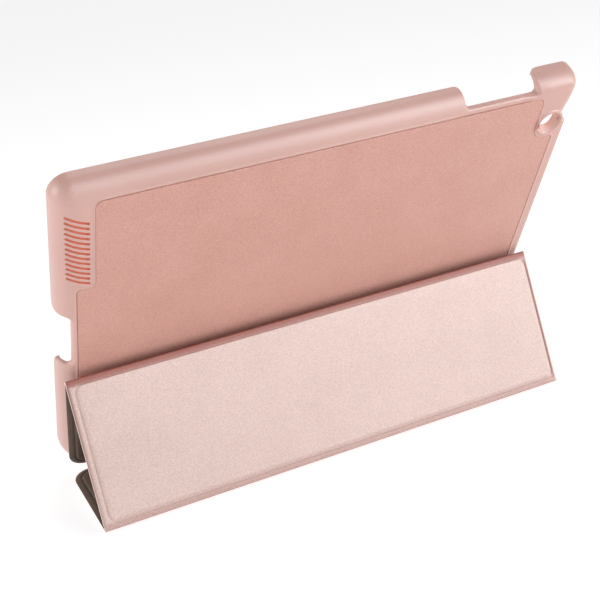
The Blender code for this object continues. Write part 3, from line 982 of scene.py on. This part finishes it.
def microfibre():
    material, tree, shader = new_material("microfibre")
    place = node(tree, "TexCoord").outputs["Object"]
    nap = noise(tree, place, 1500, 4.0, 0.7)
    cloud = noise(tree, place, 60, 3.0)
    base = ramp(tree, cloud, [(0.3, (0.105, 0.066, 0.046)), (0.7, (0.160, 0.104, 0.074))])
    fibres = ramp(tree, nap, [(0.3, (0.72, 0.70, 0.68)), (0.7, (1.0, 1.0, 1.0))])
    tree.links.new(mixed(tree, "MULTIPLY", 1.0, base, fibres), shader.inputs["Base Color"])
    shader.inputs["Roughness"].default_value = 0.62
    shader.inputs["Sheen Weight"].default_value = 0.5
    shader.inputs["Sheen Roughness"].default_value = 0.45
    shader.inputs["Sheen Tint"].default_value = (0.75, 0.62, 0.52, 1.0)
    tree.links.new(bump(tree, nap, 0.35, 0.00015), shader.inputs["Normal"])
    return material


def fibre_board():
    material, tree, shader = new_material("fibre_board")
    place = node(tree, "TexCoord").outputs["Object"]
    fibres = noise(tree, place, 900, 5.0, 0.7)
    base = ramp(tree, fibres, [(0.3, (0.36, 0.33, 0.29)), (0.7, (0.52, 0.49, 0.44))])
    tree.links.new(base, shader.inputs["Base Color"])
    shader.inputs["Roughness"].default_value = 0.85
    tree.links.new(bump(tree, fibres, 0.3, 0.0001), shader.inputs["Normal"])
    return material


def worked_metal(name, colour, stretch, roughness):
    """Metal with fine marks drawn out along X."""
    material, tree, shader = new_material(name)
    place = node(tree, "TexCoord").outputs["Object"]
    drawn = node(tree, "Mapping")
    drawn.inputs["Scale"].default_value = (1.0, stretch, stretch)
    tree.links.new(place, drawn.inputs["Vector"])
    marks = noise(tree, drawn.outputs["Vector"], 500, 4.0, 0.6)
    base = ramp(tree, marks, [(0.3, tuple(c * 0.85 for c in colour)), (0.7, colour)])
    tree.links.new(base, shader.inputs["Base Color"])
    tree.links.new(scaled(tree, marks, roughness - 0.08, roughness + 0.08), shader.inputs["Roughness"])
    shader.inputs["Metallic"].default_value = 1.0
    return material


def finish_nodes():
    """Hidden inner pieces keep their solids and get their real finishes."""
    finishes = {
        "board": fibre_board(),
        "magnet": worked_metal("nickel_plate", (0.62, 0.61, 0.58), 1.0, 0.3),
        "keeper": worked_metal("rolled_steel", (0.50, 0.50, 0.52), 12.0, 0.38),
    }
    for name, piece in frame["nodes"].items():
        chosen = next((finish for word, finish in finishes.items() if word in name), None)
        if chosen:
            piece.data.materials.clear()
            piece.data.materials.append(chosen)


# stage

def build_stage():
    bpy.ops.mesh.primitive_plane_add(size=40.0, location=(0, 0, -0.0005))
    floor = bpy.context.object
    floor.name = "studio_floor"
    material, _, shader = new_material("studio_white")
    shader.inputs["Base Color"].default_value = (0.44, 0.44, 0.44, 1.0)
    shader.inputs["Roughness"].default_value = 0.9
    shader.inputs["Specular IOR Level"].default_value = 0.1
    shader.inputs["Emission Color"].default_value = (1.0, 1.0, 1.0, 1.0)
    shader.inputs["Emission Strength"].default_value = 0.73
    floor.data.materials.append(material)
    build_world()
    bpy.context.scene.view_settings.view_transform = "Standard"


def build_world():
    """Studio surroundings: pale along the horizon and dimmer overhead."""
    world = bpy.data.worlds.new("studio")
    bpy.context.scene.world = world
    world.use_nodes = True
    tree = world.node_tree
    split = node(tree, "SeparateXYZ")
    tree.links.new(node(tree, "TexCoord").outputs["Generated"], split.inputs[0])
    level = [(0.08, (0.88, 0.88, 0.88)), (0.25, (0.46, 0.45, 0.45)), (0.5, (0.43, 0.42, 0.42)),
             (1.0, (0.27, 0.26, 0.26))]
    tree.links.new(ramp(tree, split.outputs["Z"], level), tree.nodes["Background"].inputs["Color"])


def area_light(name, place, size, power, sheen_tint=None):
    """A rectangular light; one with a sheen tint shows only in glossy reflections."""
    data = bpy.data.lights.new(name, "AREA")
    data.shape = "RECTANGLE"
    data.size, data.size_y = size
    data.energy = power
    data.color = sheen_tint or (1.0, 1.0, 1.0)
    light = bpy.data.objects.new(name, data)
    bpy.context.scene.collection.objects.link(light)
    light.visible_diffuse = sheen_tint is None
    light.location = place
    light.rotation_euler = (Vector(LIGHT_TARGET) - Vector(place)).to_track_quat("-Z", "Y").to_euler()


def build_lights():
    area_light("front", (0.85, -0.85, 0.58), (0.9, 0.7), 5.5)
    area_light("front_sheen", (0.42, -1.0, 0.60), (1.2, 0.85), 8.0, COOL)
    area_light("low", (1.2, -0.85, 0.22), (0.5, 0.35), 3.6)
    area_light("left", (-1.1, 0.05, 0.50), (0.8, 0.6), 6.0)
    area_light("top", (0.25, 0.30, 1.15), (0.7, 0.3), 2.8)


def build_camera(matrix):
    """Camera above and behind the left end, looking down the back of the case."""
    turn = Matrix.Identity(3)
    for degrees, axis in zip(VIEW_TURN, "XYZ"):
        turn = Matrix.Rotation(math.radians(degrees), 3, axis) @ turn
    place = turn.transposed() @ Vector(VIEW_OFFSET) - Vector((0, VIEW_DROP, 0))
    data = bpy.data.cameras.new("camera")
    data.lens = LENS
    data.sensor_width = 36.0
    camera = bpy.data.objects.new("camera", data)
    bpy.context.scene.collection.objects.link(camera)
    rotation = matrix.to_3x3() @ turn.transposed()
    camera.matrix_world = Matrix.Translation(matrix @ (place * MM)) @ rotation.to_4x4()
    bpy.context.scene.camera = camera


def build():
    matrix = shell_matrix()
    frames = fold_frames()
    build_camera(matrix)
    # one leather in two colours: the cover's copy painted lighter and paler (painted sheen), the inlay's darker
    # and redder (painted shade)
    skin = grained_leather("rose_leather", (0.645, 0.48, 0.437), (0.695, 0.525, 0.482),
                           # the dark red-brown colour is the painted shade along the folds
                           (0.88, 0.77, 0.71), (0.26, 0.035, 0.014), 0.5)
    inlay_leather = grained_leather("inlay_leather", (0.575, 0.295, 0.240), (0.625, 0.335, 0.280),
                                    None, None, 0.48)
    liner = microfibre()

    shell = make_shell()
    shell.data.transform(matrix @ Matrix.Scale(MM, 4))
    shell.data.materials.append(pearl_plastic())
    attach(shell, "shell")
    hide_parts("back_shell")

    inlay = make_inlay(matrix)
    inlay.data.materials.append(inlay_leather)
    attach(inlay, "shell")
    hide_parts("back_skin")

    build_cover(frames, skin, liner)
    build_folds(frames, skin, liner)
    build_hinge(matrix, skin)
    finish_nodes()
    build_stage()
    build_lights()


build()
